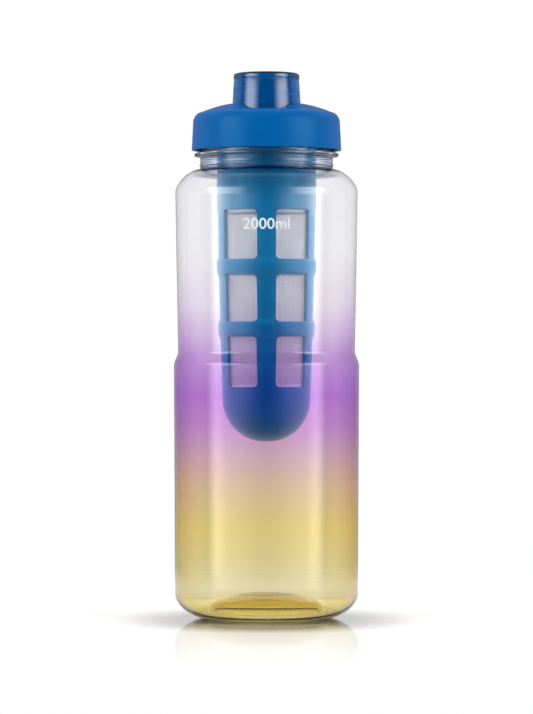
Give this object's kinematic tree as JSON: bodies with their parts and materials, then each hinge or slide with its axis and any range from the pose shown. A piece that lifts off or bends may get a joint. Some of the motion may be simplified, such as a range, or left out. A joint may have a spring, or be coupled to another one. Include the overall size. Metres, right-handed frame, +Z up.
{
  "type": "sports water bottle",
  "caption": "Tall clear bottle with a drawn-in upper body, a screw lid with a capped drinking spout, and a long strainer basket lined with mesh hanging from the lid.",
  "frame": {"origin": "centre of the bottle's foot ring, on the surface it stands on", "axes": "+Z up along the bottle's axis, -Y towards the front, which the fill mark faces"},
  "size_m": [0.1086, 0.1086, 0.3198],
  "materials": {
    "bottle_shell": "clear, tinted from yellow at the base through pink and violet to clear at the top",
    "lid_blue": "opaque satin blue",
    "cap_blue": "see-through deep blue, polished",
    "basket_blue": "see-through blue, satin",
    "strainer_mesh": "fine pale woven mesh",
    "silicone": "soft, milky and matt"
  },
  "bodies": {
    "bottle": {"bottle": "bottle_shell"},
    "lid_gasket": {"lid_gasket": "silicone"},
    "basket_seal": {"basket_seal": "silicone"},
    "lid": {"screw_lid": "lid_blue"},
    "spout_seal": {"spout_seal": "silicone"},
    "spout_cap": {"spout_cap": "cap_blue"},
    "basket": {"basket_frame": "basket_blue", "mesh_sleeve": "strainer_mesh"}
  },
  "joints": [
    {"name": "lid_lift", "type": "slide", "parent": "bottle", "child": "lid_gasket", "axis": [0, 0, 1], "range_m": [0, 0.21]},
    {"name": "lid_rise", "type": "slide", "parent": "lid_gasket", "child": "basket_seal", "axis": [0, 0, 1], "range_m": [0, 0.0075]},
    {"name": "lid_turn", "type": "hinge", "parent": "basket_seal", "child": "lid", "pos_m": [0, 0, 0.2907], "axis": [0, 0, 1], "range_deg": [0, 450]},
    {"name": "cap_rise", "type": "slide", "parent": "lid", "child": "spout_seal", "axis": [0, 0, 1], "range_m": [0, 0.018]},
    {"name": "cap_turn", "type": "hinge", "parent": "spout_seal", "child": "spout_cap", "pos_m": [0, 0, 0.3125], "axis": [0, 0, 1], "range_deg": [0, 540]},
    {"name": "basket_pull", "type": "slide", "parent": "lid", "child": "basket", "axis": [0, 0, -1], "range_m": [0, 0.016]}
  ],
  "couplings": [
    {"joint": "lid_rise", "follows": "lid_turn", "m_per_rad": 0.000954},
    {"joint": "cap_rise", "follows": "cap_turn", "m_per_rad": 0.001909}
  ]
}
